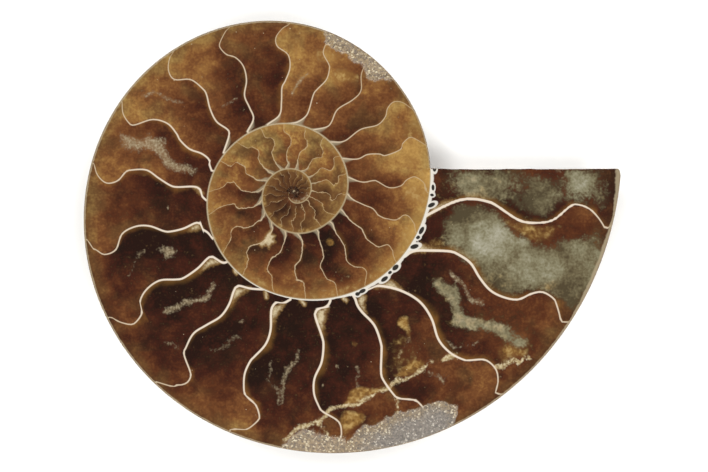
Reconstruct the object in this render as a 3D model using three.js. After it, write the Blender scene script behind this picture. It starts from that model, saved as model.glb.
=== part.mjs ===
// A sawn and polished ammonite half: one solid piece of calcite-filled shell.
// The flat cut face shows the coil in section. The other side is the shell's natural outside,
// with rounded flanks, low sickle-shaped ribs and a sunken umbilicus, and the half lies on it.
// Millimetres, +Z up. The shell is drawn with its coil axis on Z and its cut face at z = 0,
// then lifted to lie on z = 0, with the origin below the middle of the whole piece.

import * as THREE from "three";

// Driving dimensions of the coil
const WALL_RADII = [
  54.7, 48.9, 43.3, 38.8, 34.9, 31.7, 28.6, 25.3,
  22.9, 20.4, 17.7, 15.9, 14.3, 12.7, 11.5, 10.25,
  9.05, 7.6, 6.75, 5.9, 5.1, 4.45, 3.95, 3.55, 2.9,
]; // coil centre to shell wall at each eighth of a turn, from the mouth inwards
const EIGHTH_TURN = Math.PI / 4;
const FULL_TURN = 2 * Math.PI;
const TURNS_SHOWN = 3; // the outer whorl and the two seen inside the umbilicus
const MOUTH_OFFSET = 4.1; // the broken mouth edge runs parallel to X, this far from the coil centre
const MOUTH_CORNER_RADIUS = 55.1; // coil centre to the outer corner of the mouth
const MOUTH_SKEW_SPAN = 0.9; // radians of whorl over which the columns swing round to the mouth

// Driving dimensions of the whorl's half section, as shares of the whorl's radius
const HALF_BREADTH = 11.8; // unworn flank depth below the cut face at the mouth, in millimetres
const REST_DEPTH = 10; // the flank is worn flat at this depth, where the half lies
const BREADTH_POWER = 0.5; // the breadth grows as this power of the radius
const SEAM_SHARE = 0.27; // where a whorl meets the older one inside it
const CREST_SHARE = 0.45; // where the flank is deepest
const FLANK_FULLNESS = [1.8, 0.62]; // exponents of the flank's curve from crest to outer rim
const SHOULDER_POWER = 2.4; // roundness of the step down into the umbilicus
const FIRST_SEAM_DEPTH_SHARE = 0.39; // depth at the innermost seam, as a share of the breadth there

// Driving dimensions of the ribs
const RIBS_PER_TURN = 32;
const RIB_HEIGHT_SHARE = 0.006; // of the whorl's radius
const RIB_SWEEP = 0.32; // radians by which a rib bends forward towards the rim

// Fineness of the facets
const COLUMNS_PER_TURN = 128;
const INNER_ROWS = 7; // from the seam to where the next whorl covers the flank
const OUTER_ROWS = 10; // from there to the outer rim
const ROWS = INNER_ROWS + OUTER_ROWS;

// Radius of the shell wall at a growth angle, 0 on +X at the mouth and negative further in.
function wallRadius(growth) {
  const place = -growth / EIGHTH_TURN;
  const first = THREE.MathUtils.clamp(Math.floor(place), 0, WALL_RADII.length - 2);
  const at = (i) => {
    const last = WALL_RADII.length - 1;
    if (i < 0) return Math.log(WALL_RADII[0] ** 2 / WALL_RADII[1]);
    if (i > last) return Math.log(WALL_RADII[last] ** 2 / WALL_RADII[last - 1]);
    return Math.log(WALL_RADII[i]);
  };
  const [before, start, end, after] = [first - 1, first, first + 1, first + 2].map(at);
  const t = place - first;
  const slope = (end - before) / 2;
  const endSlope = (after - start) / 2;
  const cubic = 2 * (start - end) + slope + endSlope;
  const square = 3 * (end - start) - 2 * slope - endSlope;
  return Math.exp(start + t * (slope + t * (square + t * cubic)));
}

const MOUTH_GROWTH = Math.asin(MOUTH_OFFSET / MOUTH_CORNER_RADIUS);
const LAST_COLUMN = COLUMNS_PER_TURN * TURNS_SHOWN;
const OUTER_START = LAST_COLUMN - COLUMNS_PER_TURN;

function growthAtColumn(column) {
  return MOUTH_GROWTH - ((LAST_COLUMN - column) / COLUMNS_PER_TURN) * FULL_TURN;
}

function flankBreadth(growth) {
  return HALF_BREADTH * (wallRadius(growth) / wallRadius(0)) ** BREADTH_POWER;
}

// Radius at a row of a column, from the seam through the covered part to the outer rim.
function rowRadius(growth, row) {
  const outer = wallRadius(growth);
  const seam = SEAM_SHARE * outer;
  const covered = SEAM_SHARE * wallRadius(Math.min(growth + FULL_TURN, MOUTH_GROWTH));
  const step = growth + FULL_TURN > MOUTH_GROWTH ? 0.65 * outer : covered;
  if (row <= INNER_ROWS) return THREE.MathUtils.lerp(seam, step, row / INNER_ROWS);
  const share = Math.sin(((row - INNER_ROWS) / OUTER_ROWS) * (Math.PI / 2));
  return THREE.MathUtils.lerp(step, outer, share);
}

// Swing of a column's row about the coil axis, so that the last column lies along the mouth edge.
function skew(column, row) {
  const span = (MOUTH_SKEW_SPAN / FULL_TURN) * COLUMNS_PER_TURN;
  const swingTo = (radius) => Math.asin(MOUTH_OFFSET / radius) - MOUTH_GROWTH;
  const ease = (distance) => THREE.MathUtils.smoothstep(1 - distance / span, 0, 1);
  const mouth = ease(LAST_COLUMN - column);
  if (mouth > 0) return mouth * swingTo(rowRadius(MOUTH_GROWTH, row));
  const older = ease(Math.abs(OUTER_START - column));
  if (older === 0) return 0;
  const growth = growthAtColumn(OUTER_START);
  const seamSwing = swingTo(rowRadius(MOUTH_GROWTH, 0));
  if (row <= INNER_ROWS) return (older * seamSwing * row) / INNER_ROWS;
  const swing = swingTo(rowRadius(growth, row));
  return older * swingTo(rowRadius(growth, row) * growthOver(growth, swing, row));
}

// Widening of a swung row, which keeps the outer rim on the spiral.
function growthOver(growth, swing, row) {
  const share = Math.max(row - INNER_ROWS, 0) / OUTER_ROWS;
  const turned = Math.min(growth + swing, MOUTH_GROWTH);
  return THREE.MathUtils.lerp(1, wallRadius(turned) / wallRadius(growth), share);
}

function ribHeight(growth, radius) {
  const outer = wallRadius(growth);
  const across = (radius / outer - CREST_SHARE) / (1 - CREST_SHARE);
  if (across <= 0 || across >= 1) return 0;
  const fade = Math.sin(Math.PI * across);
  const bend = RIB_SWEEP * (across ** 2 - 0.5 * Math.sin(Math.PI * across));
  return RIB_HEIGHT_SHARE * outer * fade * Math.cos(RIBS_PER_TURN * (growth - bend));
}

// Depth of the natural surface below the cut face, from the seam's own depth to the outer rim.
function flankDepth(growth, radius, seamDepth) {
  const outer = wallRadius(growth);
  const breadth = flankBreadth(growth);
  const share = radius / outer;
  if (share < CREST_SHARE) {
    const climb = (share - SEAM_SHARE) / (CREST_SHARE - SEAM_SHARE);
    const shoulder = 1 - (1 - Math.max(climb, 0)) ** SHOULDER_POWER;
    return Math.min(seamDepth + (breadth - seamDepth) * shoulder, REST_DEPTH);
  }
  const across = Math.min((share - CREST_SHARE) / (1 - CREST_SHARE), 1);
  const flank = (1 - across ** FLANK_FULLNESS[0]) ** FLANK_FULLNESS[1];
  return Math.min(breadth * flank + ribHeight(growth, radius), REST_DEPTH);
}

// Vertices: a spiral strip whose inner edge is shared with the row that it covers one turn earlier.
const positions = [];
const indexOf = new Map();

function addVertex(x, y, z) {
  positions.push(x, y, z);
  return positions.length / 3 - 1;
}

function depthOf(vertex) {
  return -positions[3 * vertex + 2];
}

function vertexAt(column, row) {
  if (row === 0 && column >= COLUMNS_PER_TURN) return vertexAt(column - COLUMNS_PER_TURN, INNER_ROWS);
  const key = `${column},${row}`;
  if (!indexOf.has(key)) {
    const growth = growthAtColumn(column);
    const swing = skew(column, row);
    const radius = rowRadius(growth, row) * growthOver(growth, swing, row);
    const angle = growth + swing;
    const seamDepth = column >= COLUMNS_PER_TURN
      ? depthOf(vertexAt(column, 0))
      : FIRST_SEAM_DEPTH_SHARE * flankBreadth(growth);
    const depth = row === ROWS ? 0 : flankDepth(growth, rowRadius(growth, row), seamDepth);
    indexOf.set(key, addVertex(radius * Math.cos(angle), radius * Math.sin(angle), -depth));
  }
  return indexOf.get(key);
}

const triangles = [];

// The natural side: every turn's open rows, wound so that the faces look down and out.
for (let column = 0; column < LAST_COLUMN; column += 1) {
  const rows = column >= OUTER_START ? ROWS : INNER_ROWS;
  for (let row = 0; row < rows; row += 1) {
    const a = vertexAt(column, row);
    const b = vertexAt(column + 1, row);
    const c = vertexAt(column + 1, row + 1);
    const d = vertexAt(column, row + 1);
    triangles.push(a, b, c, a, c, d);
  }
}

// The middle of the umbilicus, closed by a fan and by the innermost whorl's first section.
const innerLoop = [];
for (let column = 0; column <= COLUMNS_PER_TURN; column += 1) innerLoop.push(vertexAt(column, 0));
for (let row = INNER_ROWS - 1; row > 0; row -= 1) innerLoop.push(vertexAt(0, row));
const middle = addVertex(0, 0, -FIRST_SEAM_DEPTH_SHARE * flankBreadth(growthAtColumn(0)));
innerLoop.forEach((vertex, i) => {
  triangles.push(middle, innerLoop[(i + 1) % innerLoop.length], vertex);
});

// Flat outlines are triangulated in their own plane: the cut face in XY and the mouth in XZ.
// The turn is +1 for facets that run anticlockwise in that plane and -1 for clockwise ones.
function fillFlat(loop, across, up, turn) {
  const outline = loop.map((v) => new THREE.Vector2(positions[3 * v + across], positions[3 * v + up]));
  for (const [a, b, c] of THREE.ShapeUtils.triangulateShape(outline, [])) {
    const area = THREE.ShapeUtils.area([outline[a], outline[b], outline[c]]);
    if (area * turn > 0) triangles.push(loop[a], loop[b], loop[c]);
    else triangles.push(loop[a], loop[c], loop[b]);
  }
}

const rim = [];
for (let column = OUTER_START; column <= LAST_COLUMN; column += 1) rim.push(vertexAt(column, ROWS));
fillFlat(rim, 0, 1, 1);

const mouth = [];
for (let row = 0; row <= ROWS; row += 1) mouth.push(vertexAt(LAST_COLUMN, row));
for (let row = ROWS; row > INNER_ROWS; row -= 1) mouth.push(vertexAt(OUTER_START, row));
fillFlat(mouth, 0, 2, -1);

const geometry = new THREE.BufferGeometry();
geometry.setAttribute("position", new THREE.Float32BufferAttribute(positions, 3));
geometry.setIndex(triangles);
geometry.computeVertexNormals();

const agatizedShell = new THREE.MeshStandardMaterial({ color: 0x6b4423, roughness: 0.3, metalness: 0 });
const ammoniteHalf = new THREE.Mesh(geometry, agatizedShell);
ammoniteHalf.name = "ammonite_half";

// Lifted so that the worn flank lies on z = 0, and centred on the piece's own box.
geometry.computeBoundingBox();
const centre = geometry.boundingBox.getCenter(new THREE.Vector3());
ammoniteHalf.position.set(-centre.x, -centre.y, REST_DEPTH);

const model = new THREE.Group();
model.add(ammoniteHalf);

export default model;
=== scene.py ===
import math

import bpy
import numpy as np
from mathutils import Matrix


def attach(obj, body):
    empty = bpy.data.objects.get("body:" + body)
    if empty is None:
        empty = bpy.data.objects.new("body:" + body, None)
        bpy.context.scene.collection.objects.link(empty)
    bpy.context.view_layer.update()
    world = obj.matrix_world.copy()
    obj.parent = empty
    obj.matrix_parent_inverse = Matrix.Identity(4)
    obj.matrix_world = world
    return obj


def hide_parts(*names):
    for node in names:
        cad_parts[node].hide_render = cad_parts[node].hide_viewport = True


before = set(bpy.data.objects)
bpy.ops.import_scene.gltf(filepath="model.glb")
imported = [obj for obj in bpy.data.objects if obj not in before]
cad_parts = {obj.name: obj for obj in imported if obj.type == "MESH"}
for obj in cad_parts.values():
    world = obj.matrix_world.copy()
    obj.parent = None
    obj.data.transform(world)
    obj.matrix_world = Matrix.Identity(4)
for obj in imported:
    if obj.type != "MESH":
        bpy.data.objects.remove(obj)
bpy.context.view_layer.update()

# The ammonite half is one piece of stone: a coiled shell whose chambers filled with calcite in the
# ground, sawn through the middle of the coil and polished on the cut. The other side is the shell's
# own worn outside, which it lies on. Sizes are in millimetres from the coil centre until the mesh
# is made, and photo pixels are read in the 708 x 472 picture.
MM = 0.001
MM_PER_PIXEL = 0.168
COIL_CENTRE_PIXEL = (292.65, 192.07)
FULL_TURN = 2 * math.pi
EIGHTH_TURN = math.pi / 4

# Coil centre to shell wall at each eighth of a turn, from the mouth inwards.
WALL_RADII = [
    54.7, 48.9, 43.3, 38.8, 34.9, 31.7, 28.6, 25.3,
    22.9, 20.4, 17.7, 15.9, 14.3, 12.7, 11.5, 10.25,
    9.05, 7.6, 6.75, 5.9, 5.1, 4.45, 3.95, 3.55,
    2.9, 2.2, 1.6, 1.05,
]
FIRST_CHAMBER_SHRINK = 0.8  # of the radius at each eighth of a turn further in
MOUTH_OFFSET = 4.1  # the mouth edge runs parallel to X, this far from the coil centre
MOUTH_CORNER_RADIUS = 55.1  # coil centre to the outer corner of the mouth
MOUTH_CORNER_ROUNDING = 0.7
MOUTH_SKEW_SPAN = 0.9  # radians of whorl over which the columns swing round to the mouth
THICKNESS = 10.0
EDGE_BEVEL = 0.1
MOUTH_CHIPPING = 0.15

COLUMNS = 560  # in each turn
FACE_TURNS = 4
FACE_ROWS = [8, 18, 36, 58]  # in each turn, from the innermost outwards
DORSAL_ROWS = 12  # of the last turn's rows, set close beside the older whorl
DORSAL_SHARE = 0.075


def wall_radius(growth):
    shrink = FIRST_CHAMBER_SHRINK ** np.arange(1, 16)
    logs = np.log(np.concatenate([WALL_RADII, WALL_RADII[-1] * shrink]))
    logs = np.concatenate([[2 * logs[0] - logs[1]], logs, [2 * logs[-1] - logs[-2]]])
    place = -np.asarray(growth, float) / EIGHTH_TURN
    first = np.clip(np.floor(place), 0, len(logs) - 4).astype(int)
    before, start, end, after = (logs[first + i] for i in range(4))
    t = place - first
    slope = (end - before) / 2
    end_slope = (after - start) / 2
    cubic = 2 * (start - end) + slope + end_slope
    square = 3 * (end - start) - 2 * slope - end_slope
    return np.exp(start + t * (slope + t * (square + t * cubic)))


def smooth_step(low, high, value):
    t = np.clip((value - low) / (high - low), 0, 1)
    return t * t * (3 - 2 * t)


def from_photo(points):
    points = np.asarray(points, float)
    across = (points[:, 0] - COIL_CENTRE_PIXEL[0]) * MM_PER_PIXEL
    up = (COIL_CENTRE_PIXEL[1] - points[:, 1]) * MM_PER_PIXEL
    return np.stack([across, up], 1)


# The cut face is a spiral strip of rows between the shell wall and the same wall one turn earlier,
# so that every wall lies along mesh edges. Near the mouth the columns swing to its straight edge.
MOUTH_GROWTH = math.asin(MOUTH_OFFSET / MOUTH_CORNER_RADIUS)
LAST_COLUMN = COLUMNS * FACE_TURNS
OUTER_START = LAST_COLUMN - COLUMNS
SKEW_COLUMNS = MOUTH_SKEW_SPAN / FULL_TURN * COLUMNS


def growth_at(column):
    return MOUTH_GROWTH - (LAST_COLUMN - column) / COLUMNS * FULL_TURN


def strip_radius(growth, share):
    inner = wall_radius(growth - FULL_TURN)
    return inner + (wall_radius(growth) - inner) * share


def mouth_swing(share):
    swing = np.zeros_like(share)
    for _ in range(40):
        radius = strip_radius(MOUTH_GROWTH + swing, share)
        swing = np.arcsin(MOUTH_OFFSET / radius) - MOUTH_GROWTH
    return swing


def mouth_ease(column):
    return float(smooth_step(0, 1, 1 - abs(column) / SKEW_COLUMNS))


def row_shares(turn):
    rows = FACE_ROWS[turn]
    if turn < FACE_TURNS - 1:
        return np.linspace(0, 1, rows + 1)
    dorsal = np.linspace(0, DORSAL_SHARE, DORSAL_ROWS, endpoint=False)
    return np.concatenate([dorsal, np.linspace(DORSAL_SHARE, 1, rows + 1 - DORSAL_ROWS)])


SEAM_SWING = float(mouth_swing(np.zeros(1))[0])
face_columns = []
node_growth = []
node_share = []
node_weld = []
node_count = 0
for column in range(LAST_COLUMN + 1):
    share = row_shares(min(column // COLUMNS, FACE_TURNS - 1))
    swing = mouth_ease(column - LAST_COLUMN) * mouth_swing(share)
    swing = swing + mouth_ease(column - OUTER_START) * SEAM_SWING * share
    nodes = np.arange(node_count, node_count + len(share))
    weld = nodes.copy()
    if column >= COLUMNS:
        weld[0] = face_columns[column - COLUMNS][-1]
    face_columns.append(nodes)
    node_growth.append(growth_at(column) + swing)
    node_share.append(share)
    node_weld.append(weld)
    node_count += len(share)
node_growth = np.concatenate(node_growth)
node_share = np.concatenate(node_share)
node_weld = np.concatenate(node_weld)
node_radius = strip_radius(node_growth, node_share)
node_x = node_radius * np.cos(node_growth)
node_y = node_radius * np.sin(node_growth)


# Facets between two rows of points, also where one row has more points than the other.
def zip_rows(left, right):
    if len(left) == len(right):
        lower = np.stack([left[:-1], right[:-1], right[1:]], 1)
        upper = np.stack([left[:-1], right[1:], left[1:]], 1)
        return np.concatenate([lower, upper])
    facets = []
    i = 0
    j = 0
    while i < len(left) - 1 or j < len(right) - 1:
        left_ahead = (i + 1) / (len(left) - 1)
        right_ahead = (j + 1) / (len(right) - 1)
        if j == len(right) - 1 or (i < len(left) - 1 and left_ahead <= right_ahead):
            facets.append((left[i], right[j], left[i + 1]))
            i += 1
        else:
            facets.append((left[i], right[j], right[j + 1]))
            j += 1
    return np.array(facets)


face_facets = [zip_rows(b, a) for a, b in zip(face_columns[:-1], face_columns[1:])]

# Chamber walls, read off the photo from their inner to their outer end, from the mouth inwards.
SEPTA = [
    [(424, 218), (428, 214), (455, 201), (473, 198.5), (490, 202), (498, 206.5), (519, 220),
     (536, 222.5), (553, 219.5), (569, 206.5), (576, 204), (589, 208.5), (599, 219), (605, 228),
     (611, 225)],
    [(404, 256), (414, 250.5), (430, 250), (449, 250.8), (457, 253.5), (470, 262.5), (479, 277),
     (490, 290), (504, 297), (518, 299), (530, 293.5), (542, 291.5), (553, 298), (556, 304),
     (559.5, 316), (560.5, 321), (569.5, 321.5)],
    [(366, 291), (370, 287.5), (380, 285.5), (400, 290), (419, 301), (431, 318), (438, 339),
     (450, 352.5), (464, 359.5), (471, 359.7), (485, 359.5), (495.5, 369), (497.5, 382), (495, 392.5),
     (503, 393.5)],
    [(352, 294), (355, 299), (357, 305), (362, 312), (374, 325), (380.5, 343), (381, 352), (380.5, 370),
     (382.5, 379), (394, 395), (399, 398), (411, 399), (417, 401), (424, 411), (423, 430), (420, 439)],
    [(330, 300), (328, 304), (324, 307), (318, 308.5), (314.5, 313), (316, 320), (321.5, 336),
     (323, 345), (321, 362), (314, 378), (313.5, 393), (318, 405), (322, 411), (338, 421), (341, 433),
     (339, 440), (338, 451)],
    [(290, 299), (283, 302.5), (276, 302), (271.5, 307), (270.5, 314), (270, 330), (265, 344),
     (254, 356), (249.5, 361), (244, 374), (243.5, 390), (246, 396), (255, 404), (259, 416),
     (256.5, 421), (248, 428), (243, 429), (230, 428)],
    [(262, 289), (250, 288), (238, 285.5), (233.5, 290), (228.5, 304), (220, 316), (206, 324.5),
     (193, 333), (185.5, 347), (183.5, 354), (190, 372), (189.5, 378), (186, 382.5), (180, 384.5),
     (175, 384.5), (172, 386), (155, 381)],
    [(228, 261), (222, 262), (212, 256.5), (207, 258), (197, 268), (183, 277.5), (175, 279), (159, 280),
     (146, 289), (139.5, 301), (141.5, 312), (136, 321), (130, 324), (118, 321), (114, 318),
     (109, 316.5)],
    [(212, 238), (207, 232), (202, 228.5), (200, 223.5), (195, 222.5), (183, 228), (170, 231),
     (163, 230.5), (149, 225.5), (135, 226), (121.5, 233.5), (115.5, 249), (104, 254), (96, 249.5),
     (92.5, 248), (87, 239)],
    [(206, 200), (202, 196), (200, 190), (197, 187), (191, 186), (177, 186.5), (170, 185), (158, 177.5),
     (146, 169.5), (131, 169.5), (125, 171.5), (117.5, 180), (106, 182.5), (97, 174.5), (93.5, 163)],
    [(211, 170), (209, 164), (208.5, 159), (201, 153), (189, 148.5), (179.5, 139.5), (176, 133),
     (167, 123), (152, 119), (134, 124.5), (128.5, 122.5), (122.5, 113), (121.5, 101)],
    [(223, 152), (228.5, 135), (227, 129), (216, 121), (209.5, 108), (206, 94), (202, 88), (190, 79),
     (174, 79), (168, 70), (169, 58), (173, 52)],
    [(247, 131), (253, 118), (249, 107), (244, 95), (246, 80), (243, 66), (235, 57), (226, 54),
     (219.5, 47), (219.5, 42), (225, 31), (229, 27.5)],
    [(267, 124), (279, 114.5), (281, 101), (281.5, 87), (285, 80), (289.5, 67), (287.5, 54), (277, 46),
     (275.5, 37), (282, 28), (289, 24)],
    [(290, 123), (297, 121.5), (304, 117), (308, 111), (313, 94), (317, 88.5), (326, 79), (329, 68),
     (328, 63), (323.5, 55), (323, 50), (327, 40), (331, 34)],
    [(312, 129.5), (326, 126.5), (331, 121.5), (337, 109), (352, 99.5), (360.5, 90), (361, 73),
     (369, 57)],
    [(330, 141.5), (344, 140.5), (360, 129), (377, 124.5), (385, 116), (387, 108), (393, 101.5),
     (402, 102), (412, 109)],
    [(341, 158), (357, 158.5), (367, 154), (379, 153.5), (385, 155), (400, 149), (401.5, 144),
     (408, 137.5), (413, 137.5), (426, 145)],
    [(346, 176), (361, 181.5), (373, 180), (378, 181.5), (388, 187), (400, 185.5), (406.5, 179),
     (415, 176.5), (424, 183), (425, 188), (427.5, 193)],
    [(347, 193), (351, 198), (361, 203.5), (372, 208), (380, 216), (395, 219.5), (402, 215), (407, 215),
     (413, 222), (415, 232)],
    [(341, 209), (351, 221), (361, 228.5), (366, 238), (375, 245), (379, 246.5), (387, 244), (392, 250),
     (392.5, 255), (396, 262)],
    [(332, 223), (335, 231), (343.5, 245), (346, 259), (350, 264), (356.5, 267), (361, 266.5),
     (365.5, 270), (366, 276), (364, 284)],
    [(318, 232), (319, 240), (323, 255), (320, 265), (326, 278), (332, 280.5), (335.5, 285), (337, 296)],
    [(297, 234), (301, 238), (302, 242), (300, 259), (294.5, 266), (296.5, 279), (303, 282), (305, 298)],
    [(284, 231), (285, 236), (282, 246), (278, 253), (271, 258), (267, 269), (271.5, 275.5), (272, 286),
     (274, 292)],
    [(271, 222), (271.5, 230), (266, 238), (258, 243.5), (250, 245.5), (246, 252), (248, 259.5),
     (243, 273)],
    [(265, 210), (261, 219.5), (258, 220.5), (248, 227), (236, 226), (230, 233), (230.5, 238),
     (222, 253)],
    [(262, 199), (255, 205.5), (239, 208), (232, 203.5), (217, 208), (209, 214)],
    [(263, 188), (257, 191.5), (249, 191), (239.5, 189), (234, 182), (230, 182.5), (226, 182.5),
     (222, 187), (209, 191)],
    [(265.5, 180), (256.5, 179.5), (253, 177), (246, 173), (245, 168.5), (243, 165), (235.5, 161.5),
     (232, 164.5), (229, 165), (219, 160)],
    [(272, 173), (265, 168.5), (258.5, 160), (258.5, 151), (251, 146.5), (247, 147.5), (237, 142.5)],
    [(280, 169), (271.5, 155), (274, 144), (271, 137.5), (265, 137), (260, 128)],
    [(285, 168.5), (288, 163.5), (286.5, 160), (286.5, 150), (290.5, 144), (289.5, 136), (284, 131),
     (283, 124)],
    [(295, 168.5), (296.5, 166), (299.5, 152), (306, 147), (306.5, 140), (304, 137), (305, 128)],
    [(301, 170.5), (306.5, 168), (313, 158.5), (321, 157), (321.5, 154), (323, 151), (320, 145),
     (321, 140), (324, 137)],
    [(307, 177), (312, 175), (321, 168), (329, 170), (333.5, 165.5), (334, 158), (339, 155)],
    [(309.5, 185), (311, 183), (319, 182), (326, 179), (333, 184), (335, 182.5), (337, 182), (339, 175),
     (345, 174)],
    [(310, 190.5), (313, 190), (317, 191.5), (325, 192), (330, 196.5), (330.5, 199.5), (335, 198.5),
     (339, 194), (345, 193)],
    [(308, 195.5), (311.5, 196.5), (319, 202), (322.5, 203), (324.5, 210), (334, 214)],
    [(306, 198), (312, 208.5), (314.5, 211), (314, 217.5), (316, 219), (320, 225)],
    [(300, 202.5), (304.5, 216), (301, 223), (301, 231)],
]
SHARE_STEPS = 200
INNER_SEPTA = 14
INNER_SEPTUM_STEP = math.radians(21)


def smooth_line(points, steps=8):
    points = np.asarray(points, float)
    first = 2 * points[0] - points[1]
    last = 2 * points[-1] - points[-2]
    ring = np.concatenate([[first], points, [last]])
    pieces = []
    for a, b, c, d in zip(ring[:-3], ring[1:-2], ring[2:-1], ring[3:]):
        t = np.linspace(0, 1, steps, endpoint=False)[:, None]
        pieces.append(b + 0.5 * t * (c - a + t * (2 * a - 5 * b + 4 * c - d + t * (3 * (b - c) + d - a))))
    return np.concatenate(pieces + [points[-1:]])


# Growth angle of each chamber wall at even steps across its whorl.
share_grid = np.linspace(0, 1, SHARE_STEPS + 1)
septum_growth = []
growth_guess = MOUTH_GROWTH
for septum in SEPTA:
    line = from_photo(smooth_line(septum))
    radius = np.hypot(line[:, 0], line[:, 1])
    angle = np.unwrap(np.arctan2(line[:, 1], line[:, 0]))
    middle = len(angle) // 2
    turn = round((growth_guess - 0.3 - angle[middle]) / FULL_TURN)
    growth = angle + turn * FULL_TURN
    inner = wall_radius(growth - FULL_TURN)
    share = (radius - inner) / (wall_radius(growth) - inner)
    share = np.maximum.accumulate(share) + np.arange(len(share)) * 1e-6
    septum_growth.append(np.interp(share_grid, share, growth))
    growth_guess = growth[middle]
inner_shape = np.mean([line - line[0] for line in septum_growth[-6:]], 0)
for count in range(1, INNER_SEPTA + 1):
    septum_growth.append(septum_growth[len(SEPTA) - 1][0] - count * INNER_SEPTUM_STEP + inner_shape)
septum_growth = -np.sort(-np.array(septum_growth), axis=0)
beyond = np.full((1, SHARE_STEPS + 1), 0.5)
septum_growth = np.concatenate([septum_growth[:1] + beyond, septum_growth, septum_growth[-1:] - beyond])


# Place along the row of chambers: whole numbers on the walls, counted from the mouth inwards.
def chamber_place(growth, share):
    step = np.clip(share, 0, 1) * SHARE_STEPS
    low = np.minimum(step.astype(int), SHARE_STEPS - 1)
    lines = septum_growth[:, low] + (septum_growth[:, low + 1] - septum_growth[:, low]) * (step - low)
    count = np.clip((lines > growth).sum(0), 1, len(lines) - 1)
    column = np.arange(len(growth))
    ahead = lines[count - 1, column]
    behind = lines[count, column]
    return count - 1 + (ahead - growth) / np.maximum(ahead - behind, 1e-6)


# Chambers per millimetre at each node, from a short step along the coil and one across it.
PROBE_STEP = 0.02
whorl_height = wall_radius(node_growth) - wall_radius(node_growth - FULL_TURN)
place = chamber_place(node_growth, node_share)
step_angle = PROBE_STEP / node_radius
step_share = PROBE_STEP / whorl_height
moved_inner = wall_radius(node_growth + step_angle - FULL_TURN)
moved_height = wall_radius(node_growth + step_angle) - moved_inner
moved_share = (node_radius - moved_inner) / moved_height
along = chamber_place(node_growth + step_angle, moved_share) - place
outward = np.where(node_share < 0.5, 1, -1)
across = chamber_place(node_growth, node_share + outward * step_share) - place
place_slope = np.hypot(along, across) / PROBE_STEP
place_slope = np.clip(place_slope, 0.02, 20)

# How dark the calcite is, from golden at 0 to almost black at 1: at a few places along the coil, in
# degrees of growth, near the inner wall, halfway and near the rim. Each chamber differs a little.
TONE_STATIONS = [
    (10, 0.86, 0.70, 0.80), (-30, 0.92, 0.75, 0.64), (-90, 0.97, 0.93, 0.54), (-155, 0.97, 0.92, 0.62),
    (-215, 0.78, 0.56, 0.36), (-238, 0.76, 0.62, 0.38), (-258, 0.82, 0.80, 0.52),
    (-278, 0.58, 0.44, 0.34), (-312, 0.57, 0.46, 0.40), (-350, 0.54, 0.42, 0.20), (-380, 0.66, 0.58, 0.27),
    (-402, 0.97, 0.88, 0.40), (-500, 0.76, 0.63, 0.43), (-590, 0.54, 0.47, 0.38),
    (-690, 0.50, 0.44, 0.36), (-790, 0.74, 0.66, 0.50),
]
TONE_SHARES = (0.15, 0.55, 0.95)
TONE_SPREAD = 0.05
TONE_LEAN = 0.32
NUCLEUS_RADIUS = 1.05
rng = np.random.default_rng(7)
chamber_degrees = np.degrees(septum_growth[:-1] + septum_growth[1:])[:, SHARE_STEPS // 2] / 2
stations = np.array(TONE_STATIONS)[::-1]
tones = np.stack([np.interp(chamber_degrees, stations[:, 0], stations[:, k]) for k in (1, 2, 3)], 1)
tones += rng.uniform(-TONE_SPREAD, TONE_SPREAD, (len(tones), 1))
chamber = np.clip(place, 0, len(tones) - 1.001)
low = np.floor(chamber).astype(int)
blend = 0.5 * smooth_step(0.72, 1.0, chamber - low)[:, None]
tone_rows = tones[low] * (1 - blend) + tones[np.minimum(low + 1, len(tones) - 1)] * blend
outer_part = np.clip((node_share - TONE_SHARES[1]) / (TONE_SHARES[2] - TONE_SHARES[1]), 0, 1)
inner_part = np.clip((TONE_SHARES[1] - node_share) / (TONE_SHARES[1] - TONE_SHARES[0]), 0, 1)
tone_parts = np.stack([inner_part, 1 - inner_part - outer_part, outer_part], 1)
tone = (tone_rows * tone_parts).sum(1)
tone += TONE_LEAN * (chamber - low - 0.5) * np.sin(math.pi * np.clip(node_share, 0, 1))
tone = np.where(node_radius < NUCLEUS_RADIUS, 1.2, tone)

# Each node's place in the photo. The outlines of the fillings wander from it by a pixel or two, so that
# they are uneven, as crystals are.
COARSE_WANDER = 1.6
FINE_WANDER = 0.5
true_pixel = np.stack([node_x, -node_y], 1) / MM_PER_PIXEL + COIL_CENTRE_PIXEL
right, down = true_pixel.T
wander_x = COARSE_WANDER * np.sin(right / 5 + down / 9) + FINE_WANDER * np.sin(down / 2.3)
wander_y = COARSE_WANDER * np.sin(down / 6 - right / 8) + FINE_WANDER * np.sin(right / 2.6)
node_pixel = true_pixel + np.stack([wander_x, wander_y], 1)


def line_distance(points):
    best = np.full(node_count, np.inf)
    line = np.asarray(points, float)
    for start, end in zip(line[:-1], line[1:]):
        reach = end - start
        t = np.clip((node_pixel - start) @ reach / (reach @ reach), 0, 1)
        gap = node_pixel - start - t[:, None] * reach
        best = np.minimum(best, np.hypot(gap[:, 0], gap[:, 1]))
    return best


def stroke(points, width):
    return np.clip(1 - line_distance(points) / width, 0, 1)


def patch(points, soft):
    ring = np.asarray(list(points) + [points[0]], float)
    inside = np.zeros(node_count, bool)
    for (x0, y0), (x1, y1) in zip(ring[:-1], ring[1:]):
        if y0 == y1:
            continue
        between = (node_pixel[:, 1] > min(y0, y1)) & (node_pixel[:, 1] <= max(y0, y1))
        crossing = x0 + (node_pixel[:, 1] - y0) / (y1 - y0) * (x1 - x0)
        inside ^= between & (node_pixel[:, 0] < crossing)
    gap = line_distance(ring)
    return np.clip(0.5 + np.where(inside, gap, -gap) / (2 * soft), 0, 1)


def spot(x, y, wide, high):
    gap = np.hypot((node_pixel[:, 0] - x) / wide, (node_pixel[:, 1] - y) / high)
    return np.clip(1.5 - gap, 0, 1)


def highest(fields):
    return np.maximum.reduce(fields)


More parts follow.
